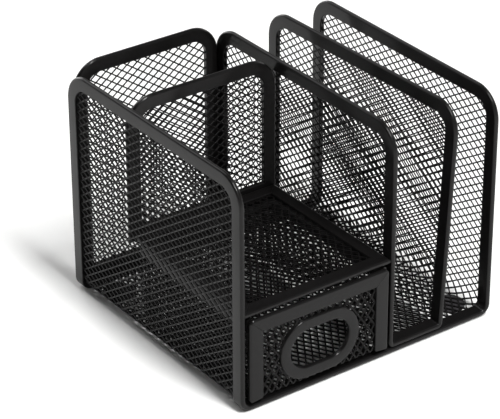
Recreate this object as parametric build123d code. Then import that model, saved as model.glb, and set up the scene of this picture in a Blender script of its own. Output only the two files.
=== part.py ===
from build123d import *
import math
import os

# Desk organizer of black steel mesh: a tall frame of bent mesh sheets with folded steel rims,
# a note tray and a pen bin on the left, two upright slots on the right and one sliding drawer.
# Millimetres. +Z is up, the front faces -Y, the drawer side is -X. Heights are drawn from the
# underside of the base, and the finished pieces are raised together onto the foot pads.

# Outer sheet: left side, base and right side in one bend
frame_depth = 150.0
side_height = 127.0
bend_radius = 6.0

# Folded rims and the mesh that they clamp
rim_width = 7.4
rim_thickness = 2.8
rim_fold = 1.4
mesh_thickness = 0.8
corner_radius = 16.0

# Drawn mesh: long and short way of one diamond, and the strand between two diamonds
diamond_length = 32.2
diamond_height = 21.7
strand_width = 2.2
smallest_opening_share = 0.1

# Bays, from left to right
bay_width = 88.6
slot_width = 30.5
outer_slot_width = 27.7
outer_divider_lean = 1.45
slot_edge_radius = 1.6

# Left bay: back panel, partition and shelf
panel_rise = 1.5
partition_setback = 97.5
partition_foot = 49.8
shelf_setback = 0.8
shelf_top = 55.0

# Drawer
drawer_proud = 1.0
drawer_side_gap = 1.8
drawer_lift = 1.0
drawer_height = 47.2
drawer_back_gap = 2.4
drawer_rim_width = 8.0
drawer_corner_radius = 3.0

# Mesh of the drawer front, with its diamonds upright
front_diamond_width = 8.6
front_diamond_height = 12.9
front_strand_width = 1.2

# Finger hole with its steel ring
finger_hole_length = 35.8
finger_hole_height = 21.4
ring_band = 6.1
ring_fold = 1.4

# Round foot pads, stuck under the corners of the base mesh
pad_diameter = 17.2
pad_drop = 0.5
pad_left_inset = 15.0
pad_right_inset = 11.6
pad_end_inset = 19.5

# How far a cutting tool runs past the material
overrun = 5.0

# Places that follow from the sizes above
overall_depth = frame_depth + drawer_proud
frame_width = bay_width + slot_width + outer_slot_width + 4 * rim_thickness
left_x = -frame_width / 2
right_x = frame_width / 2
back_y = overall_depth / 2
front_y = back_y - frame_depth
mesh_inset = (rim_thickness - mesh_thickness) / 2
bay_left = left_x + rim_thickness
bay_right = bay_left + bay_width
slot_left = bay_right + rim_thickness
slot_right = slot_left + slot_width
tray_z = rim_thickness
tray_top = tray_z + rim_thickness
tray_mesh_top = tray_z + mesh_inset + mesh_thickness
panel_top = side_height + panel_rise
partition_front = front_y + partition_setback
drawer_width = bay_width - 2 * drawer_side_gap
drawer_left = bay_left + drawer_side_gap
drawer_right = drawer_left + drawer_width
drawer_front = front_y - drawer_proud
drawer_back = partition_front - drawer_back_gap
drawer_bottom = rim_thickness + drawer_lift
drawer_top = drawer_bottom + drawer_height
drawer_floor_top = drawer_bottom + mesh_thickness
finger_hole_z = (drawer_bottom + drawer_top - drawer_rim_width) / 2
pad_left_x = left_x + pad_left_inset
pad_right_x = right_x - pad_right_inset
pad_front_y = front_y + pad_end_inset
pad_back_y = back_y - pad_end_inset

# Drawing planes: sideways panels run front to back, crossways panels run left to right
side_directions = {"x_dir": (0, 1, 0), "z_dir": (1, 0, 0)}
cross_directions = {"x_dir": (1, 0, 0), "z_dir": (0, -1, 0)}


def field(u0, u1, v0, v1):
    """Rectangle between two corners."""
    return Pos((u0 + u1) / 2, (v0 + v1) / 2) * Rectangle(u1 - u0, v1 - v0)


def rounded(outline, level, radius):
    """Outline with its two upper (level -1) or lower (level 0) corners rounded."""
    if radius <= 0:
        return outline
    return fillet(outline.vertices().group_by(Axis.Y)[level], radius)


def panel_outline(length, foot, top, inset, foot_radius=0):
    """Upright panel drawn in by an inset all round, its rounded corners kept concentric."""
    outline = field(inset, length - inset, foot + inset, top - inset)
    outline = rounded(outline, -1, corner_radius - inset)
    return rounded(outline, 0, foot_radius - inset)


def box(x0, x1, y0, y1, z0, z1):
    """Block between two corners."""
    return Pos((x0 + x1) / 2, (y0 + y1) / 2, (z0 + z1) / 2) * Box(x1 - x0, y1 - y0, z1 - z0)


def clip_below(points, axis, limit):
    """Part of a polygon whose coordinate on one axis is under a limit."""
    kept = []
    for here, following in zip(points, points[1:] + points[:1]):
        if here[axis] <= limit:
            kept.append(here)
        if (here[axis] - limit) * (following[axis] - limit) < 0:
            along = (limit - here[axis]) / (following[axis] - here[axis])
            kept.append(tuple(a + along * (b - a) for a, b in zip(here, following)))
    return kept


def mirrored(points):
    """The same polygon seen through the origin."""
    return [(-u, -v) for u, v in points]


def clip_to_field(points, u0, u1, v0, v1):
    """Part of a polygon inside a rectangle."""
    points = clip_below(clip_below(points, 0, u1), 1, v1)
    points = mirrored(points)
    points = clip_below(clip_below(points, 0, -u0), 1, -v0)
    return mirrored(points)


def area(points):
    """Area of a polygon."""
    pairs = zip(points, points[1:] + points[:1])
    return abs(sum(a[0] * b[1] - b[0] * a[1] for a, b in pairs)) / 2


def diamonds(u0, u1, v0, v1, wide, high, strand):
    """Openings of a diamond mesh that fills a rectangle with whole diamonds."""
    columns = max(1, round((u1 - u0) / wide))
    rows = max(1, round((v1 - v0) / high))
    pitch_u = (u1 - u0) / columns
    pitch_v = (v1 - v0) / rows
    opening_share = 1 - strand / (pitch_u * pitch_v / math.hypot(pitch_u, pitch_v))
    reach_u = pitch_u * opening_share / 2
    reach_v = pitch_v * opening_share / 2
    least = pitch_u * pitch_v * smallest_opening_share / 2
    openings = []
    for row in range(2 * rows + 1):
        for column in range(columns + 1):
            u = u0 + pitch_u * (column + (row % 2) / 2)
            v = v0 + pitch_v * row / 2
            corners = [(u - reach_u, v), (u, v - reach_v), (u + reach_u, v), (u, v + reach_v)]
            corners = clip_to_field(corners, u0, u1, v0, v1)
            if len(corners) > 2 and area(corners) > least:
                openings.append(corners)
    return openings


def mesh_sheet(outline, openings):
    """Flat mesh: one holed face given the mesh's thickness."""
    cuts = [Wire.make_polygon([Vector(u, v) for u, v in corners]) for corners in openings]
    holed = Face(outline.face().outer_wire(), outline.face().inner_wires() + cuts)
    return extrude(holed, amount=mesh_thickness)


def corner_inset(radius):
    """Least inset of a square field that stays inside a sheet's rounded corner."""
    return radius - (radius - rim_fold - strand_width) / math.sqrt(2)


def upright_openings(length, foot, top):
    """Diamonds of an upright panel, inside its two posts and under its top rail."""
    inset = max(rim_width, corner_inset(corner_radius))
    return diamonds(inset, length - inset, foot, top - inset, diamond_length, diamond_height, strand_width)


def folded_rim(outline, opening, clamped):
    """Flat strip between an outline and its opening, with a slot for the mesh that it clamps."""
    slot = Pos(0, 0, mesh_inset) * extrude(clamped, amount=mesh_thickness)
    return extrude(outline - opening, amount=rim_thickness) - slot


def open_rim(length, foot, top):
    """Posts and top rail of a panel that is open at the foot."""
    below = foot - overrun
    opening = panel_outline(length, below - rim_width, top, rim_width)
    clamped = panel_outline(length, below - rim_fold, top, rim_fold)
    return folded_rim(panel_outline(length, foot, top, 0), opening, clamped)


def open_mesh(length, foot, top):
    """Mesh of a panel that is open at the foot, as far as the folds of its rim."""
    outline = panel_outline(length, foot - rim_fold, top, rim_fold)
    openings = upright_openings(length, foot + strand_width, top)
    return Pos(0, 0, mesh_inset) * mesh_sheet(outline, openings)


def closed_rim(length, foot, top, foot_radius):
    """Rim on all four sides of a panel."""
    outlines = [panel_outline(length, foot, top, inset, foot_radius) for inset in (0, rim_width, rim_fold)]
    return folded_rim(*outlines)


def closed_mesh(length, foot, top, foot_radius):
    """Mesh of a panel with a rim on all four sides."""
    outline = panel_outline(length, foot, top, rim_fold, foot_radius)
    openings = upright_openings(length, foot + rim_width, top)
    return Pos(0, 0, mesh_inset) * mesh_sheet(outline, openings)


def side_plane(x):
    """Plane of a front-to-back panel whose left face is at x."""
    return Plane(origin=(x, front_y, 0), **side_directions)


def cross_plane(x, y):
    """Plane of a left-to-right panel whose left edge is at x and whose back face is at y."""
    return Plane(origin=(x, y, 0), **cross_directions)


def side_rim(x):
    """Rim of an outer side, from bend to bend over the top."""
    return side_plane(x) * open_rim(frame_depth, bend_radius, side_height)


def side_mesh(x):
    """Mesh of an outer side, above the bend."""
    return side_plane(x) * open_mesh(frame_depth, bend_radius, side_height)


def trough(outset, thickness):
    """Cross-section of the base with both bends, one layer of the sheet."""
    half = frame_width / 2 - bend_radius
    section = field(-half, half, outset, outset + thickness)
    for side in (-1, 1):
        section += Pos(side * half, bend_radius) * bend(side, outset, thickness)
    return section


def bend(side, outset, thickness):
    """Quarter ring of one layer of the sheet, below and to one side of its centre."""
    ring = Circle(bend_radius - outset) - Circle(bend_radius - outset - thickness)
    return ring & field(min(0, side * bend_radius), max(0, side * bend_radius), -bend_radius, 0)


def base_layer(section, y_back, length):
    """A cross-section of the base drawn out to the front from y_back."""
    return Plane(origin=(0, y_back, 0), **cross_directions) * extrude(section, amount=length)


def base_rim(y_back):
    """Base rim with its upturned ends, folded over the edge of the sheet."""
    strip = base_layer(trough(0, rim_thickness), y_back, rim_width)
    sheet = trough(mesh_inset, mesh_thickness)
    return strip - base_layer(sheet, back_y - rim_fold, frame_depth - 2 * rim_fold)


def base_mesh():
    """Flat mesh of the base, from bend to bend."""
    half = frame_width / 2 - bend_radius
    outline = field(-half, half, front_y + rim_fold, back_y - rim_fold)
    openings = diamonds(strand_width - half, half - strand_width, front_y + rim_width, back_y - rim_width,
                        diamond_length, diamond_height, strand_width)
    return Pos(0, 0, mesh_inset) * mesh_sheet(outline, openings)


def bend_mesh(side):
    """Mesh of the bend between the base and one side, open in a row of slots."""
    centre_x = side * (frame_width / 2 - bend_radius)
    section = Pos(centre_x, bend_radius) * bend(side, mesh_inset, mesh_thickness)
    count = max(1, round((frame_depth - 2 * rim_width) / diamond_height))
    pitch = (frame_depth - 2 * rim_width) / count
    tool = Pos(0, 0, -bend_radius / 2) * Box(bend_radius - strand_width, pitch - strand_width, bend_radius)
    slots = Part()
    for index in range(count):
        centre_y = front_y + rim_width + pitch * (index + 1 / 2)
        slots += Pos(centre_x, centre_y, bend_radius) * Rot(0, side * -45, 0) * tool
    return base_layer(section, back_y - rim_fold, frame_depth - 2 * rim_fold) - slots


def divider_rim(x):
    """Rim of a divider, standing on the rims of the slot floor."""
    return side_plane(x) * open_rim(frame_depth, tray_top, side_height)


def divider_mesh(x):
    """Mesh of a divider, reaching down to the slot floor between the floor's rims."""
    mesh = open_mesh(frame_depth, tray_top, side_height)
    tongue = field(rim_width, frame_depth - rim_width, tray_mesh_top, tray_top)
    mesh += Pos(0, 0, mesh_inset) * extrude(tongue, amount=mesh_thickness)
    return side_plane(x) * mesh


def leaning(upright):
    """The outer divider's piece, leant outward about its left foot."""
    foot = Axis((slot_right, 0, tray_top), (0, 1, 0))
    return upright.rotate(foot, outer_divider_lean)


def outer_divider_rim():
    """Rim of the outer divider, its posts cut level on the slot floor's rims."""
    posts = side_plane(slot_right) * open_rim(frame_depth, tray_z, side_height)
    below = box(slot_left, right_x, front_y - overrun, back_y + overrun, tray_z - overrun, tray_top)
    return leaning(posts) - below


def outer_divider_mesh():
    """Mesh of the outer divider, cut level above the slot floor."""
    mesh = leaning(divider_mesh(slot_right))
    below = box(slot_left, right_x, front_y - overrun, back_y + overrun, tray_z - overrun, tray_mesh_top)
    front_bar = box(slot_left, right_x, front_y, front_y + rim_width, tray_z, tray_top)
    back_bar = box(slot_left, right_x, back_y - rim_width, back_y, tray_z, tray_top)
    return mesh - below - front_bar - back_bar


def slot_floor_outline():
    """Plan of the slot floor's mesh, as far as the folds of its rims."""
    floor_right = slot_right + rim_thickness
    return field(bay_right + rim_fold, floor_right - rim_fold, front_y + rim_fold, back_y - rim_fold)


def slot_floor_rim(y_front):
    """Cross bar under the posts of both dividers, its lower corners bent round."""
    floor_right = slot_right + rim_thickness
    bar = box(bay_right, floor_right, y_front, y_front + rim_width, tray_z, tray_top)
    lower_ends = bar.edges().filter_by(Axis.Y).group_by(Axis.Z)[0]
    bar = fillet(lower_ends, slot_edge_radius)
    return bar - Pos(0, 0, tray_z + mesh_inset) * extrude(slot_floor_outline(), amount=mesh_thickness)


def slot_floor_mesh():
    """Mesh of the slot floor."""
    openings = diamonds(slot_left, slot_right, front_y + rim_width, back_y - rim_width,
                        diamond_length, diamond_height, strand_width)
    return Pos(0, 0, tray_z + mesh_inset) * mesh_sheet(slot_floor_outline(), openings)


def back_panel(shape):
    """A piece of the back panel, between two posts and clear of the bend at its foot."""
    return cross_plane(bay_left, back_y) * shape(bay_width, rim_thickness, panel_top, bend_radius)


def partition(shape):
    """A piece of the partition, which reaches the mesh on both sides."""
    width = bay_width + 2 * mesh_inset
    plane = cross_plane(bay_left - mesh_inset, partition_front + rim_thickness)
    return plane * shape(width, partition_foot, panel_top, 0)


def shelf_outline(inset):
    """Plan of the shelf, less an inset on each side."""
    front = front_y + shelf_setback
    return field(bay_left + inset, bay_right - inset, front + inset, partition_front - inset)


def shelf_rim():
    """Flat rim round the shelf, folded over its mesh."""
    outlines = [shelf_outline(inset) for inset in (0, rim_width, rim_fold)]
    return Pos(0, 0, shelf_top - rim_thickness) * folded_rim(*outlines)


def shelf_mesh():
    """Mesh of the shelf, its diamonds running front to back."""
    front = front_y + shelf_setback
    openings = diamonds(bay_left + rim_width, bay_right - rim_width, front + rim_width,
                        partition_front - rim_width, diamond_height, diamond_length, strand_width)
    return Pos(0, 0, shelf_top - rim_thickness + mesh_inset) * mesh_sheet(shelf_outline(rim_fold), openings)


def finger_hole(grow):
    """Outline of the finger hole, grown all round."""
    hole = SlotOverall(finger_hole_length + 2 * grow, finger_hole_height + 2 * grow)
    return Pos(drawer_width / 2, finger_hole_z) * hole


def clear_of_ring(corners):
    """True when no side of an opening comes near the edge that the ring clamps."""
    half = (finger_hole_length - finger_hole_height) / 2
    least = finger_hole_height / 2 + ring_fold + front_strand_width
    sides = zip(corners, corners[1:] + corners[:1])
    halfway = [((a[0] + b[0]) / 2, (a[1] + b[1]) / 2) for a, b in sides]
    for u, v in corners + halfway:
        beyond = max(0, abs(u - drawer_width / 2) - half)
        if math.hypot(beyond, v - finger_hole_z) < least:
            return False
    return True


def drawer_front_plane():
    """Plane of the drawer front, whose back face is one rim behind its front face."""
    return cross_plane(drawer_left, drawer_front + rim_thickness)


def drawer_front_outline(inset, foot):
    """Outline of the drawer front, less an inset at its sides and top."""
    outline = field(inset, drawer_width - inset, foot, drawer_top - inset)
    outline = rounded(outline, -1, drawer_corner_radius - inset)
    return rounded(outline, 0, drawer_corner_radius - inset)


def drawer_front_rim():
    """Flat strips at the sides and top of the drawer front, folded over the mesh."""
    below = drawer_bottom - overrun
    outline = drawer_front_outline(0, drawer_floor_top)
    opening = drawer_front_outline(drawer_rim_width, below)
    return drawer_front_plane() * folded_rim(outline, opening, drawer_front_outline(rim_fold, below))


def drawer_front_mesh():
    """Mesh of the drawer front, open where the finger ring sits."""
    outline = drawer_front_outline(rim_fold, drawer_bottom) - finger_hole(ring_fold)
    openings = diamonds(drawer_rim_width, drawer_width - drawer_rim_width,
                        drawer_floor_top + front_strand_width, drawer_top - drawer_rim_width,
                        front_diamond_width, front_diamond_height, front_strand_width)
    openings = [corners for corners in openings if clear_of_ring(corners)]
    return drawer_front_plane() * Pos(0, 0, mesh_inset) * mesh_sheet(outline, openings)


def handle_ring():
    """Steel ring round the finger hole, folded over the edge of the mesh."""
    clamped = finger_hole(ring_band + overrun) - finger_hole(ring_fold)
    return drawer_front_plane() * folded_rim(finger_hole(ring_band), finger_hole(0), clamped)


def drawer_floor_mesh():
    """Mesh floor of the drawer, from the front mesh to the back wall."""
    left = drawer_left + mesh_inset
    right = drawer_right - mesh_inset
    front = drawer_front + rim_thickness - mesh_inset
    back = drawer_back - mesh_inset
    border = mesh_thickness + strand_width
    openings = diamonds(left + border, right - border, front + border, back - border,
                        diamond_height, diamond_length, strand_width)
    return Pos(0, 0, drawer_bottom) * mesh_sheet(field(left, right, front, back), openings)


def drawer_wall_sheet(plane, length):
    """One mesh wall of the drawer, from the floor up into the fold of its rim."""
    top = drawer_top - rim_fold
    outline = field(0, length, drawer_floor_top, top)
    openings = diamonds(strand_width, length - strand_width, drawer_floor_top + strand_width,
                        drawer_top - rim_width, diamond_length, diamond_height, strand_width)
    return plane * mesh_sheet(outline, openings)


def drawer_side_mesh(x):
    """Side wall of the drawer, its left face at x."""
    front = drawer_front + rim_thickness
    plane = Plane(origin=(x, front, 0), **side_directions)
    return drawer_wall_sheet(plane, drawer_back - mesh_inset - front)


def drawer_back_mesh():
    """Back wall of the drawer, between the two side walls."""
    left = drawer_left + mesh_inset + mesh_thickness
    right = drawer_right - mesh_inset - mesh_thickness
    return drawer_wall_sheet(cross_plane(left, drawer_back - mesh_inset), right - left)


def drawer_wall_rim():
    """Rim along the top of the drawer's sides and back, folded down over the walls."""
    front = drawer_front + rim_thickness
    outline = field(drawer_left, drawer_right, front, drawer_back)
    inside = field(drawer_left + rim_thickness, drawer_right - rim_thickness, front - overrun,
                   drawer_back - rim_thickness)
    outer_wall = field(drawer_left + mesh_inset, drawer_right - mesh_inset, front - overrun,
                       drawer_back - mesh_inset)
    inset = mesh_inset + mesh_thickness
    inner_wall = field(drawer_left + inset, drawer_right - inset, front - overrun, drawer_back - inset)
    rim = Pos(0, 0, drawer_top - rim_width) * extrude(outline - inside, amount=rim_width)
    groove = extrude(outer_wall - inner_wall, amount=rim_width - rim_fold)
    return rim - Pos(0, 0, drawer_top - rim_width) * groove


def foot_pad(x, y):
    """Round pad from the base mesh down to the desk."""
    height = mesh_inset + pad_drop
    return Pos(x, y, mesh_inset - height / 2) * Cylinder(pad_diameter / 2, height)


pieces = {
    "left_side_mesh": side_mesh(left_x),
    "left_side_rim": side_rim(left_x),
    "left_bend_mesh": bend_mesh(-1),
    "base_mesh": base_mesh(),
    "right_bend_mesh": bend_mesh(1),
    "base_front_rim": base_rim(front_y + rim_width),
    "base_back_rim": base_rim(back_y),
    "right_side_mesh": side_mesh(right_x - rim_thickness),
    "right_side_rim": side_rim(right_x - rim_thickness),
    "inner_divider_mesh": divider_mesh(bay_right),
    "inner_divider_rim": divider_rim(bay_right),
    "slot_floor_mesh": slot_floor_mesh(),
    "slot_floor_front_rim": slot_floor_rim(front_y),
    "slot_floor_back_rim": slot_floor_rim(back_y - rim_width),
    "outer_divider_mesh": outer_divider_mesh(),
    "outer_divider_rim": outer_divider_rim(),
    "back_panel_mesh": back_panel(closed_mesh),
    "back_panel_rim": back_panel(closed_rim),
    "partition_mesh": partition(closed_mesh),
    "partition_rim": partition(closed_rim),
    "shelf_mesh": shelf_mesh(),
    "shelf_rim": shelf_rim(),
    "front_left_pad": foot_pad(pad_left_x, pad_front_y),
    "front_right_pad": foot_pad(pad_right_x, pad_front_y),
    "back_left_pad": foot_pad(pad_left_x, pad_back_y),
    "back_right_pad": foot_pad(pad_right_x, pad_back_y),
    "drawer_front_mesh": drawer_front_mesh(),
    "drawer_front_rim": drawer_front_rim(),
    "handle_ring": handle_ring(),
    "drawer_floor_mesh": drawer_floor_mesh(),
    "drawer_left_mesh": drawer_side_mesh(drawer_left + mesh_inset),
    "drawer_right_mesh": drawer_side_mesh(drawer_right - mesh_inset - mesh_thickness),
    "drawer_back_mesh": drawer_back_mesh(),
    "drawer_wall_rim": drawer_wall_rim(),
}

os.makedirs("parts", exist_ok=True)
for node, shape in pieces.items():
    export_step(Pos(0, 0, pad_drop) * shape, "parts/" + node + ".step")
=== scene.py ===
"""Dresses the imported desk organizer: expanded steel mesh, folded rims, a drawer and foot pads."""

import math
from collections import namedtuple

import bmesh
import bpy
from bpy.props import FloatProperty, FloatVectorProperty, PointerProperty
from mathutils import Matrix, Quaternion, Vector


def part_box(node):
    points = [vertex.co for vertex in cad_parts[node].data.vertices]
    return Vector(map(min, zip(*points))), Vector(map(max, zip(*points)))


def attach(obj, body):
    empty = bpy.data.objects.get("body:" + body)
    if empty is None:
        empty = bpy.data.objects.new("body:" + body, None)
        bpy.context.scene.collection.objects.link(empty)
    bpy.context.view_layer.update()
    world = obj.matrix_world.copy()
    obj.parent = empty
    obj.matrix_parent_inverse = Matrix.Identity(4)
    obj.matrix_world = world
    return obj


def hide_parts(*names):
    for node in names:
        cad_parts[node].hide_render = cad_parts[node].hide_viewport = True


bl_info = {
    "name": "Mesh Desk Organizer",
    "version": (1, 0, 0),
    "blender": (4, 5, 0),
    "location": "3D View > Sidebar > Organizer",
    "description": "Builds the visible pieces of a steel-mesh desk organizer round its CAD frame",
    "category": "Object",
}

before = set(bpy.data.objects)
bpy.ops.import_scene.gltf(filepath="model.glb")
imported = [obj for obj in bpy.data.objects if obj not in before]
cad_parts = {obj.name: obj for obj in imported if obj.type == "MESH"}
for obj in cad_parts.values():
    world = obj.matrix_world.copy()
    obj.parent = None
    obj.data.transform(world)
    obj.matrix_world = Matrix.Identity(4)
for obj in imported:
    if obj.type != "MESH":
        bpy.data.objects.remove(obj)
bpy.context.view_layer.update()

# The corners of an opening in the mesh, in the order of its points.
LEFT, BOTTOM, RIGHT, TOP = range(4)
CORNER_STEPS = 16
FOLD_STEPS = 6
QUARTER_TURN = [math.pi / 2 * k / FOLD_STEPS for k in range(FOLD_STEPS + 1)]
WELD_DISTANCE = 1e-7
SMOOTH_ANGLE = math.radians(38)
SENSOR_WIDTH_MM = 36


def spans(node):
    """The x, y and z spans of a CAD node."""
    low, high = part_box(node)
    return [(low[axis], high[axis]) for axis in range(3)]


def middle(span):
    """Halfway between the ends of a span."""
    return (span[0] + span[1]) / 2


def length(span):
    """Distance between the ends of a span."""
    return span[1] - span[0]


def linear(colour):
    """Linear values of an sRGB hex colour."""
    parts = [int(colour[k:k + 2], 16) / 255 for k in (0, 2, 4)]
    return [c / 12.92 if c <= 0.04045 else ((c + 0.055) / 1.055) ** 2.4 for c in parts]


class ExpandedMesh(bpy.types.PropertyGroup):
    """Sizes of the expanded steel mesh."""

    diamond_length: FloatProperty(
        name="Diamond length", description="Long way of one diamond", default=0.00645, unit="LENGTH")
    diamond_height: FloatProperty(
        name="Diamond height", description="Short way of one diamond", default=0.00435, unit="LENGTH")
    strand_width: FloatProperty(
        name="Strand width", description="Width of the strand between two diamonds",
        default=0.00076, unit="LENGTH")
    strand_thickness: FloatProperty(
        name="Strand thickness", description="Thickness of the sheet", default=0.00045, unit="LENGTH")
    strand_lean: FloatProperty(
        name="Strand lean", description="How far a strand's edges stand out of the sheet",
        default=0.00017, unit="LENGTH")


class FoldedRim(bpy.types.PropertyGroup):
    """Sizes of the folded steel rims."""

    width: FloatProperty(
        name="Width", description="Width of a folded strip",
        default=length(spans("base_front_rim")[1]), unit="LENGTH")
    thickness: FloatProperty(
        name="Thickness", description="Thickness over both leaves",
        default=length(spans("left_side_rim")[0]), unit="LENGTH")
    fold_radius: FloatProperty(
        name="Fold radius", description="Rounding of the folded edge", default=0.0012, unit="LENGTH")
    edge_bevel: FloatProperty(
        name="Edge bevel", description="Rounding of the cut edge on the mesh",
        default=0.0003, unit="LENGTH")
    clamped_depth: FloatProperty(
        name="Clamped depth", description="Distance of the mesh's edge from the fold",
        default=0.0014, unit="LENGTH")
    corner_radius: FloatProperty(
        name="Corner radius", description="Rounded upper corners of the upright panels",
        default=0.016, unit="LENGTH")
    bend_radius: FloatProperty(
        name="Bend radius", description="Outer bend of the rims between base and sides",
        default=length(spans("base_front_rim")[2]), unit="LENGTH")
    sheet_bend_radius: FloatProperty(
        name="Sheet bend radius", description="Outer bend of the mesh between base and sides",
        default=0.009, unit="LENGTH")
    slot_bend_radius: FloatProperty(
        name="Slot bend radius", description="Mid bend between slot floor and dividers",
        default=0.0018, unit="LENGTH")
    mitre_gap: FloatProperty(
        name="Mitre gap", description="Joint between two mitred strips", default=0.00014, unit="LENGTH")


class Drawer(bpy.types.PropertyGroup):
    """Sizes of the drawer's own pieces."""

    strip_width: FloatProperty(
        name="Strip width", description="Flat strips of the drawer front", default=0.008, unit="LENGTH")
    corner_radius: FloatProperty(
        name="Corner radius", description="Corners of the drawer front", default=0.003, unit="LENGTH")
    foot_radius: FloatProperty(
        name="Foot radius", description="Rounded feet of the upright strips", default=0.002, unit="LENGTH")
    bend_radius: FloatProperty(
        name="Bend radius", description="Bend of the mesh from front to floor",
        default=0.0025, unit="LENGTH")
    ring_band: FloatProperty(
        name="Ring band", description="Width of the ring round the finger hole",
        default=0.0061, unit="LENGTH")
    ring_edge_radius: FloatProperty(
        name="Ring edge radius", description="Rounded edges of the ring", default=0.0008, unit="LENGTH")
    net_start: FloatVectorProperty(
        name="Net start", description="Middle of one opening in the drawer's floor",
        default=(-0.0171, -0.0516), subtype="TRANSLATION", size=2)


class Finish(bpy.types.PropertyGroup):
    """Colours of the finishes."""

    strip_coat: FloatVectorProperty(
        name="Strip coat", description="Powder coat on the folded strips", subtype="COLOR", size=3,
        min=0, max=1, default=linear("111010"))
    mesh_coat: FloatVectorProperty(
        name="Mesh coat", description="Powder coat on the mesh", subtype="COLOR", size=3,
        min=0, max=1, default=linear("0f0e0e"))
    pad_foam: FloatVectorProperty(
        name="Pad foam", description="Foam rubber of the foot pads", subtype="COLOR", size=3,
        min=0, max=1, default=linear("252326"))
    paper: FloatVectorProperty(
        name="Paper", description="White paper under the object", subtype="COLOR", size=3,
        min=0, max=1, default=linear("fdfdfc"))


class Studio(bpy.types.PropertyGroup):
    """Camera, lights and background."""

    walls: FloatVectorProperty(
        name="Walls", description="Pale low walls of the studio", subtype="COLOR", size=3,
        min=0, max=1, default=linear("d0d0cf"))
    paper_reach: FloatProperty(
        name="Paper reach", description="How far the paper reaches from the middle",
        default=4, unit="LENGTH")
    light_aim: FloatVectorProperty(
        name="Light aim", description="Point that the softboxes look at", subtype="TRANSLATION", size=3,
        default=(0, 0, 0.06))
    camera_place: FloatVectorProperty(
        name="Camera place", description="Where the camera stands", subtype="TRANSLATION", size=3,
        default=(-0.6600, -0.8879, 0.6748))
    camera_aim: FloatVectorProperty(
        name="Camera aim", description="Point at the middle of the picture", subtype="TRANSLATION", size=3,
        default=(-0.0178, 0.0028, 0.0590))
    camera_roll: FloatProperty(
        name="Camera roll", description="Turn about the line of sight", default=math.radians(-0.24),
        subtype="ANGLE")
    lens: FloatProperty(
        name="Lens", description="Focal length on a 36 mm sensor", default=178.7, unit="CAMERA")
    key_power: FloatProperty(
        name="Key power", description="Softbox high in front", default=136.0, unit="POWER")
    front_power: FloatProperty(
        name="Front power", description="Lower softbox in front", default=7.0, unit="POWER")
    right_power: FloatProperty(
        name="Right power", description="Low softbox at the right", default=20.0, unit="POWER")
    back_power: FloatProperty(
        name="Back power", description="Softbox high behind", default=30.0, unit="POWER")
    low_back_power: FloatProperty(
        name="Low back power", description="Low softbox behind", default=55.0, unit="POWER")


def add_node(tree, kind, values, links=()):
    """A shader node with its settings and the sockets that feed it."""
    node = tree.nodes.new(kind)
    for name, value in values.items():
        if name in node.inputs:
            node.inputs[name].default_value = value
        else:
            setattr(node, name, value)
    for name, source in links:
        tree.links.new(source, node.inputs[name])
    return node


def blank_material(name):
    """A material with an empty node tree."""
    material = bpy.data.materials.new(name)
    material.use_nodes = True
    material.node_tree.nodes.clear()
    return material


def powder_coat(name, colour, roughness, shine, grain):
    """Black powder coat on steel: a satin skin with fine orange peel and uneven gloss.

    Its baked surface is smoother than the pigment below it, which gives thin bright lines along the edges.
    Grain is the size of the orange peel, and shine the share of the smooth surface.
    """
    # The coat's gloss wanders over about 30 mm, where the powder lay thicker.
    patch_size = 0.03
    gloss_spread = 0.05
    shade_spread = 0.2
    peel_depth = grain / 20
    # Most of a noise lies between these two values.
    noise_range = {"From Min": 0.3, "From Max": 0.7}
    material = blank_material(name)
    tree = material.node_tree
    place = add_node(tree, "ShaderNodeTexCoord", {}).outputs["Object"]
    # Orange peel of baked powder is about 0.5 mm across. It is drawn coarser, so that it shows.
    peel = add_node(tree, "ShaderNodeTexNoise", {"Scale": 1 / grain, "Detail": 3.0, "Roughness": 0.55},
                    [("Vector", place)])
    patches = add_node(tree, "ShaderNodeTexNoise", {"Scale": 1 / patch_size, "Detail": 2.0},
                       [("Vector", place)])
    dull, smooth = roughness + gloss_spread, roughness - gloss_spread
    gloss = add_node(tree, "ShaderNodeMapRange", {**noise_range, "To Min": smooth, "To Max": dull},
                     [("Value", patches.outputs["Fac"])])
    shade = add_node(tree, "ShaderNodeMapRange",
                     {**noise_range, "To Min": 1 - shade_spread, "To Max": 1 + shade_spread},
                     [("Value", peel.outputs["Fac"])])
    tint = add_node(tree, "ShaderNodeVectorMath", {"operation": "SCALE", "Vector": (*colour,)},
                    [("Scale", shade.outputs["Result"])])
    bump = add_node(tree, "ShaderNodeBump", {"Strength": 0.35, "Distance": peel_depth},
                    [("Height", peel.outputs["Fac"])])
    # Polyester powder has an IOR of about 1.5. A lower one matches the dark, dull strips of the object.
    coat = add_node(tree, "ShaderNodeBsdfPrincipled",
                    {"IOR": 1.2, "Metallic": 0.0, "Coat Weight": shine, "Coat Roughness": 0.12},
                    [("Base Color", tint.outputs["Vector"]), ("Roughness", gloss.outputs["Result"]),
                     ("Normal", bump.outputs["Normal"])])
    add_node(tree, "ShaderNodeOutputMaterial", {}, [("Surface", coat.outputs["BSDF"])])
    return material


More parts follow.
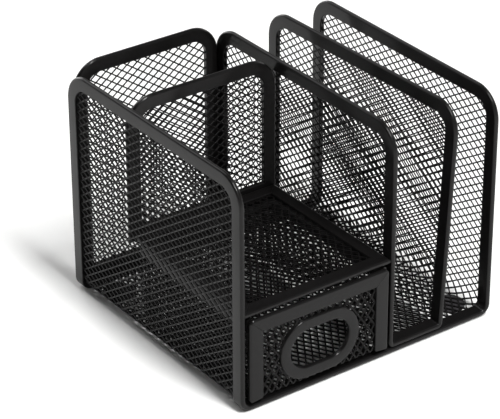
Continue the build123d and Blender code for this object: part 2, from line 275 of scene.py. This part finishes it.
def foam_rubber(name, colour):
    """Closed-cell foam rubber: matt, with pores that break up its face."""
    # Its pores are about 0.4 mm across and lie about twice as far apart.
    pore_spacing = 0.0008
    pore_depth = 0.0002
    material = blank_material(name)
    tree = material.node_tree
    place = add_node(tree, "ShaderNodeTexCoord", {}).outputs["Object"]
    pores = add_node(tree, "ShaderNodeTexVoronoi", {"Scale": 1 / pore_spacing}, [("Vector", place)])
    shade = add_node(tree, "ShaderNodeMapRange", {"From Max": 0.6, "To Min": 0.55, "To Max": 1.15},
                     [("Value", pores.outputs["Distance"])])
    tint = add_node(tree, "ShaderNodeVectorMath", {"operation": "SCALE", "Vector": (*colour,)},
                    [("Scale", shade.outputs["Result"])])
    bump = add_node(tree, "ShaderNodeBump", {"Strength": 0.5, "Distance": pore_depth},
                    [("Height", pores.outputs["Distance"])])
    foam = add_node(tree, "ShaderNodeBsdfPrincipled", {"IOR": 1.5, "Roughness": 0.85},
                    [("Base Color", tint.outputs["Vector"]), ("Normal", bump.outputs["Normal"])])
    add_node(tree, "ShaderNodeOutputMaterial", {}, [("Surface", foam.outputs["BSDF"])])
    return material


def studio_paper(name, colour):
    """White background paper: matt, with a tooth too fine to see from here."""
    material = blank_material(name)
    tree = material.node_tree
    paper = add_node(tree, "ShaderNodeBsdfPrincipled",
                     {"Base Color": (*colour, 1), "Roughness": 0.95, "Specular IOR Level": 0.1})
    add_node(tree, "ShaderNodeOutputMaterial", {}, [("Surface", paper.outputs["BSDF"])])
    return material


def studio_walls(name, colour):
    """A room with pale low walls under a dark ceiling, so that only the softboxes light it from above."""
    # Heights on the walls are the sine of the angle over the horizon: 9 and 20 degrees.
    pale_up_to = 0.15
    dark_from = 0.35
    world = bpy.data.worlds.new(name)
    world.use_nodes = True
    tree = world.node_tree
    tree.nodes.clear()
    place = add_node(tree, "ShaderNodeTexCoord", {}).outputs["Generated"]
    height = add_node(tree, "ShaderNodeSeparateXYZ", {}, [("Vector", place)])
    light = add_node(tree, "ShaderNodeMapRange",
                     {"From Min": pale_up_to, "From Max": dark_from, "To Min": 1.0, "To Max": 0.01},
                     [("Value", height.outputs["Z"])])
    walls = add_node(tree, "ShaderNodeBackground", {"Color": (*colour, 1)},
                     [("Strength", light.outputs["Result"])])
    add_node(tree, "ShaderNodeOutputWorld", {}, [("Surface", walls.outputs["Background"])])
    return world


def strip_material():
    """Satin powder coat of the folded strips, made once."""
    name = "powder_coated_strip"
    colour = bpy.context.scene.organizer_finish.strip_coat
    found = bpy.data.materials.get(name)
    return found or powder_coat(name, colour, roughness=0.40, shine=0.30, grain=0.001)


def mesh_material():
    """Satin powder coat of the mesh strands, made once."""
    name = "powder_coated_mesh"
    colour = bpy.context.scene.organizer_finish.mesh_coat
    found = bpy.data.materials.get(name)
    return found or powder_coat(name, colour, roughness=0.42, shine=0.08, grain=0.0008)


def add_piece(name, mesh, material, body, nodes):
    """An object of the part: it rides on a body and stands for CAD nodes."""
    mesh.materials.append(material)
    piece = bpy.data.objects.new(name, mesh)
    bpy.context.scene.collection.objects.link(piece)
    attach(piece, body)
    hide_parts(*nodes)


# How the net of a sheet lies: the middle of one opening along and up the sheet in metres, how far its
# diamonds are stretched the long and the short way, and its turn in degrees.
Net = namedtuple("Net", "start stretch turn")

# No two expanded sheets are stretched quite alike. The bands seen through two sheets come from that.
NETS = {
    "left_side": Net(start=(0.0025, 0.0027), stretch=(1.008, 1.013), turn=0.1),
    "right_side": Net(start=(-0.0004, 0.0012), stretch=(1.015, 0.979), turn=0.9),
    "inner_divider": Net(start=(0.0037, 0.0001), stretch=(1.019, 1.023), turn=1.4),
    "outer_divider": Net(start=(0.0048, 0.0007), stretch=(1.008, 0.990), turn=-0.7),
    "back_panel": Net(start=(0.0016, 0.0007), stretch=(0.989, 1.035), turn=0.15),
    "partition": Net(start=(0.0006, -0.0003), stretch=(0.994, 1.004), turn=-0.85),
}


def sheet_net(sheet, u_span, v_span, lean_side=1, raised=0):
    """The net of a sheet. Raised is the height up the sheet of the point where z is 0."""
    size = bpy.context.scene.organizer_mesh
    net = NETS[sheet]
    wide = size.diamond_length * net.stretch[0]
    high = size.diamond_height * net.stretch[1]
    start = (net.start[0], net.start[1] + raised)
    return expanded_mesh(u_span, v_span, wide, high, lean_side, start, math.radians(net.turn))


def expanded_mesh(u_span, v_span, wide, high, lean_side=1, start=None, turn=0):
    """Expanded mesh over a flat rectangle: corners of its openings and its quads.

    The strands lean the short way, so each opening's two near corners stand out of the sheet or into it.
    Start is the middle of one opening; without it the net is centred.
    """
    size = bpy.context.scene.organizer_mesh
    centre = Vector((middle(u_span), middle(v_span)))
    along = Vector((math.cos(turn), math.sin(turn)))
    upward = Vector((-math.sin(turn), math.cos(turn)))
    start = Vector(start or centre)
    start += wide * round((centre - start).dot(along) / wide) * along
    start += high * round((centre - start).dot(upward) / high) * upward
    open_share = 1 - size.strand_width * math.hypot(wide, high) / (wide * high)
    reach_u, reach_v = wide * open_share / 2, high * open_share / 2
    lean = lean_side * size.strand_lean
    lean_u, lean_v = (0, lean) if wide > high else (lean, 0)
    columns = math.ceil(length(u_span) / wide) + 1
    rows = math.ceil(length(v_span) / high) + 1
    places, points = {}, []
    for row in range(-rows, rows + 1):
        for column in range(-columns, columns + 1):
            if (row + column) % 2:
                continue
            here = start + column * wide / 2 * along + row * high / 2 * upward
            places[column, row] = len(points)
            points += [(*(here - reach_u * along), -lean_u), (*(here - reach_v * upward), -lean_v),
                       (*(here + reach_u * along), lean_u), (*(here + reach_v * upward), lean_v)]
    quads = []
    for (column, row), here in places.items():
        up_right = places.get((column + 1, row + 1))
        up_left = places.get((column - 1, row + 1))
        bond = [places.get((column + c, row + r)) for c, r in ((0, 0), (1, -1), (2, 0), (1, 1))]
        if up_right is not None:
            quads.append((here + RIGHT, up_right + BOTTOM, up_right + LEFT, here + TOP))
        if up_left is not None:
            quads.append((here + TOP, up_left + RIGHT, up_left + BOTTOM, here + LEFT))
        if None not in bond:
            quads.append((bond[0] + RIGHT, bond[1] + TOP, bond[2] + LEFT, bond[3] + BOTTOM))
    return points, quads


def part_of(net, first, last):
    """The quads of a net whose middle lies between two heights."""
    points, quads = net
    return points, [quad for quad in quads if first <= sum(points[k][1] for k in quad) / 4 < last]


def joined(net, other):
    """Two nets as one."""
    count = len(net[0])
    return net[0] + other[0], net[1] + [tuple(k + count for k in quad) for quad in other[1]]


def mesh_piece(name, node, body, net, keep, place):
    """Thickens the quads of a mesh that keep allows, and lays them where place says."""
    points, quads = net
    allowed = [keep(u, v) for u, v, lean in points]
    quads = [quad for quad in quads if all(allowed[k] for k in quad)]
    half = bpy.context.scene.organizer_mesh.strand_thickness / 2
    used = sorted({k for quad in quads for k in quad})
    order = {k: n for n, k in enumerate(used)}
    count = len(used)
    corners = [points[k] for k in used]
    vertices = [place(u, v, lean + side) for side in (half, -half) for u, v, lean in corners]
    front = [tuple(order[k] for k in quad) for quad in quads]
    back = [tuple(k + count for k in reversed(quad)) for quad in front]
    edges = {(quad[k], quad[(k + 1) % 4]) for quad in front for k in range(4)}
    walls = [(a, a + count, b + count, b) for a, b in sorted(edges) if (b, a) not in edges]
    mesh = bpy.data.meshes.new(name)
    mesh.from_pydata(vertices, [], front + back + walls)
    sheet = bmesh.new()
    sheet.from_mesh(mesh)
    bmesh.ops.recalc_face_normals(sheet, faces=sheet.faces)
    sheet.to_mesh(mesh)
    sheet.free()
    add_piece(name, mesh, mesh_material(), body, [node])


def rounded_corner(u, v, inward_u, inward_v, radius, inset, first):
    """Quarter turn of an inset outline, clockwise. It is a point where the inset passes the radius."""
    depth = max(radius, inset)
    reach = max(radius - inset, 0)
    centre_u = u + inward_u * depth
    centre_v = v + inward_v * depth
    turns = [first - math.pi / 2 * k / CORNER_STEPS for k in range(CORNER_STEPS + 1)]
    return [(centre_u + reach * math.cos(t), centre_v + reach * math.sin(t)) for t in turns]


def upper_corners(span, top, radius, inset):
    """Both upper corners of an upright outline, from left to right."""
    return (rounded_corner(span[0], top, 1, -1, radius, inset, math.pi)
            + rounded_corner(span[1], top, -1, -1, radius, inset, math.pi / 2))


def lower_corners(span, foot, radius, inset):
    """Both lower corners of an upright outline, from right to left."""
    return (rounded_corner(span[1], foot, -1, 1, radius, inset, 0)
            + rounded_corner(span[0], foot, 1, 1, radius, inset, -math.pi / 2))


def arch(span, foot, top, radius, inset):
    """Outline that is open at its foot: up, over the top and down."""
    return [(span[0] + inset, foot)] + upper_corners(span, top, radius, inset) + [(span[1] - inset, foot)]


def fold_section(width, thickness, fold, bevel):
    """Section of a folded strip: inset from the fold and height over the mid-plane."""
    half = thickness / 2
    lower = [(width, bevel - half), (width - bevel, -half)]
    lower += [(fold - fold * math.sin(t), fold - half - fold * math.cos(t)) for t in QUARTER_TURN]
    return lower + [(inset, -height) for inset, height in reversed(lower)]


def rim_section():
    """Section of the usual folded strip."""
    size = bpy.context.scene.organizer_rim
    return fold_section(size.width, size.thickness, size.fold_radius, size.edge_bevel)


def sweep(strip, curves, closed):
    """Skins the curves that run side by side round a section, with caps on an open strip."""
    rows = [[strip.verts.new(point) for point in curve] for curve in curves]
    count = len(rows[0])
    for row, following in zip(rows, rows[1:] + rows[:1]):
        for k in range(count if closed else count - 1):
            ahead = (k + 1) % count
            strip.faces.new((row[k], row[ahead], following[ahead], following[k]))
    if not closed:
        strip.faces.new([row[0] for row in rows])
        strip.faces.new([row[-1] for row in reversed(rows)])


def rim_piece(name, node, body, strips, closed=False):
    """One rim of one or more swept strips, smooth over its folds."""
    rim = bmesh.new()
    for curves in strips:
        sweep(rim, curves, closed)
    bmesh.ops.remove_doubles(rim, verts=rim.verts, dist=WELD_DISTANCE)
    bmesh.ops.recalc_face_normals(rim, faces=rim.faces)
    mesh = bpy.data.meshes.new(name)
    rim.to_mesh(mesh)
    rim.free()
    mesh.shade_smooth()
    mesh.set_sharp_from_angle(angle=SMOOTH_ANGLE)
    add_piece(name, mesh, strip_material(), body, [node])


def shrunk(span, inset):
    """A span cut short at both ends."""
    return span[0] + inset, span[1] - inset


def inside_box(u_span, v_span):
    """Test for points inside a rectangle."""
    return lambda u, v: u_span[0] <= u <= u_span[1] and v_span[0] <= v <= v_span[1]


def inside_arch(span, foot, top, radius, inset):
    """Test for points inside an upright outline with rounded upper corners."""
    def test(u, v):
        if not (span[0] + inset <= u <= span[1] - inset and foot <= v <= top - inset):
            return False
        over_u = max(span[0] + radius - u, u - span[1] + radius, 0)
        over_v = max(v - top + radius, 0)
        return math.hypot(over_u, over_v) <= radius - inset
    return test


def outer_fold(bend_radius):
    """The bend line of the outer sheet or its rims: flat base, two quarter bends and two upright sides."""
    across = spans("base_front_rim")
    flat = length(across[0]) / 2 - bend_radius
    radius = bend_radius - bpy.context.scene.organizer_rim.thickness / 2
    turn = radius * math.pi / 2
    level = across[2][0] + bend_radius

    def place(u, v, out):
        """Point of the sheet: u along the depth, v round the bend from left to right, out of the sheet."""
        side = math.copysign(1, v)
        angle = min(max(abs(v) - flat, 0) / radius, math.pi / 2)
        rise = max(abs(v) - flat - turn, 0)
        x = side * (min(abs(v), flat) + (radius + out) * math.sin(angle))
        return x, u, level - (radius + out) * math.cos(angle) + rise
    return place, flat, turn, level


class ORGANIZER_OT_outer_sheet(bpy.types.Operator):
    """Mesh of the left side, and of the base and right side. The two sheets lap in the left bend"""

    bl_idname = "organizer.outer_sheet"
    bl_label = "Outer Sheet"

    lap: FloatProperty(
        name="Lap", description="How far the left sheet reaches under the base",
        default=0.008, unit="LENGTH")

    def execute(self, context):
        size, rim = context.scene.organizer_mesh, context.scene.organizer_rim
        place, flat, turn, level = outer_fold(rim.sheet_bend_radius)
        depth = spans("left_side_rim")[1]
        upright = flat + turn
        top = upright + spans("left_side_rim")[2][1] - level
        allowed = inside_arch(depth, -top, top, rim.corner_radius, rim.clamped_depth)
        left = sheet_net("left_side", depth, (flat - self.lap, top), raised=upright - level)
        right = sheet_net("right_side", depth, (-upright, top), raised=upright - level)
        gap = 2 * size.strand_lean

        def climb(v):
            """How much of the bend lies below a point of a sheet, from 0 on the base to 1 on the side."""
            return min(max((abs(v) - flat) / turn, 0), 1)
        # In the left bend the left sheet lies outside the base's sheet, a gap away. Each runs on smoothly.
        outer = [(u, v, lean + gap * (1 - climb(v))) for u, v, lean in left[0]], left[1]
        inner = [(u, -v, lean - gap * climb(v)) for u, v, lean in right[0]], right[1]
        left_bend = joined(part_of(outer, flat - self.lap, upright), part_of(inner, flat, upright))
        pieces = {"left_side": (-1, part_of(outer, upright, top)),
                  "left_bend": (-1, left_bend),
                  "base": (1, part_of(right, -flat, flat)),
                  "right_bend": (1, part_of(right, flat, upright)),
                  "right_side": (1, part_of(right, upright, top))}
        for region, (side, net) in pieces.items():
            mesh_piece(region + "_strands", region + "_mesh", "frame", net, lambda u, v: allowed(u, abs(v)),
                       lambda u, v, out: place(u, side * v, out))
        return {"FINISHED"}


class ORGANIZER_OT_outer_rims(bpy.types.Operator):
    """Folded rims of the outer sheet: two side arches and two base strips with upturned ends"""

    bl_idname = "organizer.outer_rims"
    bl_label = "Outer Rims"

    def execute(self, context):
        rim = context.scene.organizer_rim
        place, flat, turn = outer_fold(rim.bend_radius)[:3]
        for side in ("left", "right"):
            across, depth, height = spans(side + "_side_rim")
            outline = [[(middle(across) + out, u, v)
                        for u, v in arch(depth, height[0], height[1], rim.corner_radius, inset)]
                       for inset, out in rim_section()]
            rim_piece(side + "_side_fold", side + "_side_rim", "frame", [outline])
        stops = [flat + turn * (1 - k / CORNER_STEPS) for k in range(CORNER_STEPS + 1)]
        path = [-v for v in stops] + list(reversed(stops))
        for end, inward in (("front", 1), ("back", -1)):
            edge = spans("base_%s_rim" % end)[1][0 if inward > 0 else 1]
            strip = [[place(edge + inward * inset, v, out) for v in path] for inset, out in rim_section()]
            rim_piece("base_%s_fold" % end, "base_%s_rim" % end, "frame", [strip])
        return {"FINISHED"}


# The real outer divider is twisted: how far its corners stand from the flat panel,
# by end (front, back) and height (foot, top).
TWIST = {
    ("front", "foot"): -0.0010,
    ("front", "top"): 0.0021,
    ("back", "foot"): 0.0010,
    ("back", "top"): -0.0021,
}


def divider_place(side):
    """Where the points of a divider lie. The inner one is upright, the outer one leans and is twisted."""
    across, depth, height = spans(side + "_divider_rim")
    half = bpy.context.scene.organizer_rim.thickness / 2
    share = 1 if side == "outer" else 0

    def place(u, v, out):
        along = (u - depth[0]) / length(depth)
        up = (v - height[0]) / length(height)
        lean = across[0] + half + (length(across) - 2 * half) * up
        foot = TWIST["front", "foot"] * (1 - along) + TWIST["back", "foot"] * along
        top = TWIST["front", "top"] * (1 - along) + TWIST["back", "top"] * along
        return lean + share * (foot * (1 - up) + top * up) + out, u, v
    return place


class ORGANIZER_OT_dividers(bpy.types.Operator):
    """Two dividers and the slot floor between them, mesh and rims"""

    bl_idname = "organizer.dividers"
    bl_label = "Dividers"

    def execute(self, context):
        size, rim = context.scene.organizer_mesh, context.scene.organizer_rim
        radius = rim.slot_bend_radius
        floor = middle(spans("slot_floor_front_rim")[2])
        foot = floor + radius
        inner, outer = divider_place("inner"), divider_place("outer")
        for side, place in (("inner", inner), ("outer", outer)):
            depth, height = spans(side + "_divider_rim")[1:]
            net = sheet_net(side + "_divider", depth, (floor, height[1]))
            keep = inside_arch(depth, floor, height[1], rim.corner_radius, rim.clamped_depth)
            mesh_piece(side + "_divider_strands", side + "_divider_mesh", "frame", net, keep, place)
            outline = [[place(u, v, out) for u, v in arch(depth, foot, height[1], rim.corner_radius, inset)]
                       for inset, out in rim_section()]
            rim_piece(side + "_divider_fold", side + "_divider_rim", "frame", [outline])
        depth = spans("slot_floor_mesh")[1]
        across = (inner(0, floor, 0)[0], outer(middle(depth), foot, 0)[0])
        net = expanded_mesh(depth, across, size.diamond_length, size.diamond_height)
        mesh_piece("slot_floor_strands", "slot_floor_mesh", "frame", net, inside_box(depth, across),
                   lambda u, v, out: (v, u, floor + out))
        for end, inward in (("front", 1), ("back", -1)):
            edge = spans("slot_floor_%s_rim" % end)[1][0 if inward > 0 else 1]
            first = inner(edge, foot, 0)[0]
            last = outer(edge, foot, 0)[0]
            strip = []
            for inset, out in rim_section():
                bend = radius + out
                turn = [(radius - bend * math.cos(t), foot - bend * math.sin(t)) for t in QUARTER_TURN]
                curve = [(first + x, z) for x, z in turn] + [(last - x, z) for x, z in reversed(turn)]
                strip.append([(x, edge + inward * inset, z) for x, z in curve])
            rim_piece("slot_floor_%s_fold" % end, "slot_floor_%s_rim" % end, "frame", [strip])
        return {"FINISHED"}


class ORGANIZER_OT_cross_panels(bpy.types.Operator):
    """Back panel and partition, mesh and rims"""

    bl_idname = "organizer.cross_panels"
    bl_label = "Back Panel and Partition"

    def execute(self, context):
        rim = context.scene.organizer_rim
        for panel, foot_radius in (("back_panel", rim.bend_radius), ("partition", rim.edge_bevel)):
            across, depth, height = spans(panel + "_rim")
            face = middle(depth)

            def place(u, v, out):
                return u, face - out, v
            net = sheet_net(panel, across, height, lean_side=-1)
            foot = height[0] + rim.bend_radius
            keep = inside_arch(across, foot, height[1], rim.corner_radius, rim.clamped_depth)
            mesh_piece(panel + "_strands", panel + "_mesh", "frame", net, keep, place)
            outline = []
            for inset, out in rim_section():
                loop = upper_corners(across, height[1], rim.corner_radius, inset)
                loop += lower_corners(across, height[0], foot_radius, inset)
                outline.append([place(u, v, out) for u, v in loop])
            rim_piece(panel + "_fold", panel + "_rim", "frame", [outline], closed=True)
        return {"FINISHED"}


def mitred(loop, place, section, gap):
    """Strips along an outline of sharp corners, cut on the diagonal with a fine gap at each joint."""
    strips = []
    corners = len(loop(0))
    for k in range(corners):
        strip = []
        for inset, out in section:
            outline = loop(inset)
            start, end = Vector(outline[k]), Vector(outline[(k + 1) % corners])
            along = (end - start).normalized() * gap / 2
            strip.append([place(*(start + along), out), place(*(end - along), out)])
        strips.append(strip)
    return strips


class ORGANIZER_OT_shelf(bpy.types.Operator):
    """Shelf of the note tray: mesh in a mitred rim"""

    bl_idname = "organizer.shelf"
    bl_label = "Shelf"

    def execute(self, context):
        size, rim = context.scene.organizer_mesh, context.scene.organizer_rim
        across, depth, height = spans("shelf_rim")
        level = middle(height)

        def place(u, v, out):
            return u, v, level + out
        net = expanded_mesh(across, depth, size.diamond_height, size.diamond_length)
        keep = inside_box(shrunk(across, rim.clamped_depth), shrunk(depth, rim.clamped_depth))
        mesh_piece("shelf_strands", "shelf_mesh", "frame", net, keep, place)

        def loop(inset):
            left, right = shrunk(across, inset)
            front, back = shrunk(depth, inset)
            return [(left, front), (left, back), (right, back), (right, front)]
        rim_piece("shelf_fold", "shelf_rim", "frame", mitred(loop, place, rim_section(), rim.mitre_gap))
        return {"FINISHED"}


def oval_distance(u, v, straight):
    """Distance of a point from the middle line of an oval."""
    return math.hypot(max(abs(u) - straight, 0), v)


class ORGANIZER_OT_drawer_front(bpy.types.Operator):
    """Drawer front: mesh that bends under into the floor, mitred strips and the finger ring"""

    bl_idname = "organizer.drawer_front"
    bl_label = "Drawer Front"

    def execute(self, context):
        size, rim = context.scene.organizer_mesh, context.scene.organizer_rim
        drawer = context.scene.organizer_drawer
        across, depth, height = spans("drawer_front_rim")
        ring_across, ring_depth, ring_height = spans("handle_ring")
        floor_depth, floor_height = spans("drawer_floor_mesh")[1:]
        face, floor = middle(depth), middle(floor_height)
        radius = drawer.bend_radius
        turn = radius * math.pi / 2
        centre = (middle(ring_across), middle(ring_height))
        straight = (length(ring_across) - length(ring_height)) / 2
        ring_radius = length(ring_height) / 2
        hole = ring_radius - drawer.ring_band

        def place(u, v, out):
            """Point of the sheet: v is the height on the front, and goes on along the floor."""
            fall = floor + radius - v
            angle = min(max(fall, 0) / radius, math.pi / 2)
            run = max(fall - turn, 0)
            y = face + radius - (radius + out) * math.cos(angle) + run
            return u, y, floor + radius - (radius + out) * math.sin(angle) + max(-fall, 0)

        bend_end = floor + radius - turn
        sheet_end = bend_end - (floor_depth[1] - face - radius)
        start = (drawer.net_start[0], face + floor + 2 * radius - turn - drawer.net_start[1])
        sheet = (sheet_end, height[1])
        net = expanded_mesh(across, sheet, size.diamond_height, size.diamond_length, -1, start)
        edge = rim.clamped_depth
        inside = inside_box(shrunk(across, edge), (sheet_end, height[1] - edge))

        def keep(u, v):
            return inside(u, v) and oval_distance(u - centre[0], v - centre[1], straight) > hole + edge
        parts = {"drawer_front": (bend_end, height[1]), "drawer_floor": (sheet_end, bend_end)}
        for part, (first, last) in parts.items():
            mesh_piece(part + "_strands", part + "_mesh", "drawer", part_of(net, first, last), keep, place)
        self.strips(context, across, height, face)
        self.ring(context, centre, straight, ring_radius, middle(ring_depth), length(ring_depth))
        return {"FINISHED"}

    def strips(self, context, across, height, face):
        """Two upright strips with rounded feet and a top strip, mitred at the upper corners."""
        rim, drawer = context.scene.organizer_rim, context.scene.organizer_drawer
        section = fold_section(drawer.strip_width, rim.thickness, rim.fold_radius, rim.edge_bevel)
        half = CORNER_STEPS // 2
        gap = rim.mitre_gap / 2
        pieces = {"left": [], "top": [], "right": []}
        for inset, out in section:
            corners = upper_corners(across, height[1], drawer.corner_radius, inset)
            beside = max(drawer.foot_radius - min(inset, drawer.strip_width - inset), 0)
            foot = height[0] + drawer.foot_radius - math.sqrt(drawer.foot_radius ** 2 - beside ** 2)
            left = [(across[0] + inset, foot)] + corners[:half + 1]
            right = corners[-half - 1:] + [(across[1] - inset, foot)]
            top = corners[half:-half]
            left[-1] = (left[-1][0], left[-1][1] - gap)
            right[0] = (right[0][0], right[0][1] - gap)
            top[0] = (top[0][0] + gap, top[0][1])
            top[-1] = (top[-1][0] - gap, top[-1][1])
            for name, curve in (("left", left), ("top", top), ("right", right)):
                pieces[name].append([(u, face - out, v) for u, v in curve])
        rim_piece("drawer_front_strips", "drawer_front_rim", "drawer", list(pieces.values()))

    def ring(self, context, centre, straight, radius, face, thickness):
        """Flat steel ring with rounded edges round the finger hole."""
        drawer = context.scene.organizer_drawer
        edge, half = drawer.ring_edge_radius, thickness / 2
        quarter = [(edge - edge * math.sin(t), half - edge + edge * math.cos(t)) for t in QUARTER_TURN]
        outer = [(inset, -height) for inset, height in quarter] + list(reversed(quarter))
        section = outer + [(drawer.ring_band - inset, height) for inset, height in quarter]
        section += [(drawer.ring_band - inset, -height) for inset, height in reversed(quarter)]
        half_turn = [math.pi * k / (2 * CORNER_STEPS) for k in range(2 * CORNER_STEPS + 1)]
        curves = []
        for inset, out in section:
            reach = radius - inset
            curve = [(straight + reach * math.sin(t), reach * math.cos(t)) for t in half_turn]
            curve += [(-straight - reach * math.sin(t), -reach * math.cos(t)) for t in half_turn]
            curves.append([(centre[0] + u, face - out, centre[1] + v) for u, v in curve])
        rim_piece("handle_ring_band", "handle_ring", "drawer", [curves], closed=True)


class ORGANIZER_OT_drawer_box(bpy.types.Operator):
    """Drawer box: mesh sides and back under a folded top rim"""

    bl_idname = "organizer.drawer_box"
    bl_label = "Drawer Box"

    def execute(self, context):
        size, rim = context.scene.organizer_mesh, context.scene.organizer_rim
        across, depth, height = spans("drawer_wall_rim")
        top = height[1]
        floor = middle(spans("drawer_floor_mesh")[2])
        half = rim.thickness / 2
        wall_height = (floor, top - rim.clamped_depth)
        back = depth[1] - half
        for side, x in (("left", across[0] + half), ("right", across[1] - half)):
            net = expanded_mesh(depth, (floor, top), size.diamond_length, size.diamond_height)
            mesh_piece("drawer_%s_strands" % side, "drawer_%s_mesh" % side, "drawer", net,
                       inside_box((depth[0], back), wall_height), lambda u, v, out: (x + out, u, v))
        net = expanded_mesh(across, (floor, top), size.diamond_length, size.diamond_height)
        mesh_piece("drawer_back_strands", "drawer_back_mesh", "drawer", net,
                   inside_box(shrunk(across, half), wall_height), lambda u, v, out: (u, back + out, v))
        strip = []
        for inset, out in rim_section():
            plan = arch(across, depth[0], depth[1], rim.thickness, half - out)
            strip.append([(x, y, top - inset) for x, y in plan])
        rim_piece("drawer_wall_fold", "drawer_wall_rim", "drawer", [strip])
        return {"FINISHED"}


class ORGANIZER_OT_foot_pads(bpy.types.Operator):
    """Round foam pads under the corners of the base"""

    bl_idname = "organizer.foot_pads"
    bl_label = "Foot Pads"

    edge_share: FloatProperty(
        name="Edge share", description="Rounded edge as a share of a pad's height",
        default=0.35, subtype="FACTOR")

    def execute(self, context):
        foam = foam_rubber("foam_rubber", context.scene.organizer_finish.pad_foam)
        for node in ("front_left_pad", "front_right_pad", "back_left_pad", "back_right_pad"):
            across, depth, height = spans(node)
            radius, edge = length(across) / 2, length(height) * self.edge_share
            rise = [(radius - edge + edge * math.sin(t), height[0] + edge - edge * math.cos(t))
                    for t in QUARTER_TURN]
            fall = [(reach, height[0] + height[1] - z) for reach, z in reversed(rise)]
            around = [2 * math.pi * k / (4 * CORNER_STEPS) for k in range(4 * CORNER_STEPS)]
            curves = [[(middle(across) + reach * math.cos(t), middle(depth) + reach * math.sin(t), z)
                       for t in around] for reach, z in rise + fall]
            pad = bmesh.new()
            rows = [[pad.verts.new(point) for point in curve] for curve in curves]
            for row, following in zip(rows, rows[1:]):
                for k, vertex in enumerate(row):
                    ahead = (k + 1) % len(row)
                    pad.faces.new((vertex, row[ahead], following[ahead], following[k]))
            pad.faces.new(list(reversed(rows[0])))
            pad.faces.new(rows[-1])
            bmesh.ops.recalc_face_normals(pad, faces=pad.faces)
            mesh = bpy.data.meshes.new(node + "_foam")
            pad.to_mesh(mesh)
            pad.free()
            mesh.shade_smooth()
            mesh.set_sharp_from_angle(angle=SMOOTH_ANGLE)
            add_piece(node + "_foam", mesh, foam, "frame", [node])
        return {"FINISHED"}


def add_softbox(name, place, sides, power):
    """A rectangular area light that looks at the middle of the object. Its first side is level."""
    aim = bpy.context.scene.organizer_studio.light_aim
    lamp = bpy.data.lights.new(name, "AREA")
    lamp.shape = "RECTANGLE"
    lamp.size, lamp.size_y = sides
    lamp.energy = power
    softbox = bpy.data.objects.new(name, lamp)
    softbox.location = place
    softbox.rotation_mode = "QUATERNION"
    softbox.rotation_quaternion = (Vector(aim) - Vector(place)).to_track_quat("-Z", "Y")
    bpy.context.scene.collection.objects.link(softbox)


class ORGANIZER_OT_studio(bpy.types.Operator):
    """White paper, soft lights and the camera"""

    bl_idname = "organizer.studio"
    bl_label = "Studio"

    def execute(self, context):
        scene, studio = context.scene, context.scene.organizer_studio
        paper = bmesh.new()
        bmesh.ops.create_grid(paper, x_segments=8, y_segments=8, size=studio.paper_reach)
        mesh = bpy.data.meshes.new("paper_floor")
        paper.to_mesh(mesh)
        paper.free()
        mesh.materials.append(studio_paper("studio_paper", scene.organizer_finish.paper))
        floor = bpy.data.objects.new("paper_floor", mesh)
        scene.collection.objects.link(floor)
        scene.world = studio_walls("studio_walls", studio.walls)
        add_softbox("key_softbox", place=(0.11, -1.643, 3.090), sides=(0.6, 1.8), power=studio.key_power)
        add_softbox("front_fill", place=(0, -2.832, 2.057), sides=(2.0, 2.0), power=studio.front_power)
        add_softbox("right_softbox", place=(3.245, 0, 1.311), sides=(1.0, 1.0), power=studio.right_power)
        add_softbox("back_softbox", place=(0, 2.155, 2.758), sides=(2.0, 2.0), power=studio.back_power)
        add_softbox("low_back_softbox", place=(0, 3.381, 0.906), sides=(2.0, 2.0),
                    power=studio.low_back_power)
        camera = bpy.data.objects.new("camera", bpy.data.cameras.new("camera"))
        camera.data.sensor_width = SENSOR_WIDTH_MM
        camera.data.lens = studio.lens
        camera.location = studio.camera_place
        sight = (Vector(studio.camera_aim) - Vector(studio.camera_place)).to_track_quat("-Z", "Y")
        camera.rotation_mode = "QUATERNION"
        camera.rotation_quaternion = sight @ Quaternion((0, 0, 1), studio.camera_roll)
        scene.collection.objects.link(camera)
        scene.camera = camera
        scene.view_settings.view_transform = "Standard"
        return {"FINISHED"}


class ORGANIZER_PT_pieces(bpy.types.Panel):
    """Lists the settings and the operators"""

    bl_idname = "ORGANIZER_PT_pieces"
    bl_label = "Desk Organizer"
    bl_space_type = "VIEW_3D"
    bl_region_type = "UI"
    bl_category = "Organizer"

    def draw(self, context):
        for group in GROUPS:
            column = self.layout.column(align=True)
            settings = getattr(context.scene, group)
            for name in settings.bl_rna.properties.keys():
                if name not in ("rna_type", "name"):
                    column.prop(settings, name)
        for operator in OPERATORS:
            self.layout.operator(operator.bl_idname)


GROUPS = {"organizer_mesh": ExpandedMesh, "organizer_rim": FoldedRim, "organizer_drawer": Drawer,
          "organizer_finish": Finish, "organizer_studio": Studio}
OPERATORS = (
    ORGANIZER_OT_outer_sheet,
    ORGANIZER_OT_outer_rims,
    ORGANIZER_OT_dividers,
    ORGANIZER_OT_cross_panels,
    ORGANIZER_OT_shelf,
    ORGANIZER_OT_drawer_front,
    ORGANIZER_OT_drawer_box,
    ORGANIZER_OT_foot_pads,
    ORGANIZER_OT_studio,
)


def register():
    """Adds the settings, operators and panel to Blender."""
    for group, settings in GROUPS.items():
        bpy.utils.register_class(settings)
        setattr(bpy.types.Scene, group, PointerProperty(type=settings))
    for operator in OPERATORS:
        bpy.utils.register_class(operator)
    bpy.utils.register_class(ORGANIZER_PT_pieces)


def unregister():
    """Takes them out again."""
    bpy.utils.unregister_class(ORGANIZER_PT_pieces)
    for operator in reversed(OPERATORS):
        bpy.utils.unregister_class(operator)
    for group, settings in GROUPS.items():
        delattr(bpy.types.Scene, group)
        bpy.utils.unregister_class(settings)


def main():
    register()
    for operator in OPERATORS:
        family, name = operator.bl_idname.split(".")
        getattr(getattr(bpy.ops, family), name)()


if __name__ == "__main__":
    main()
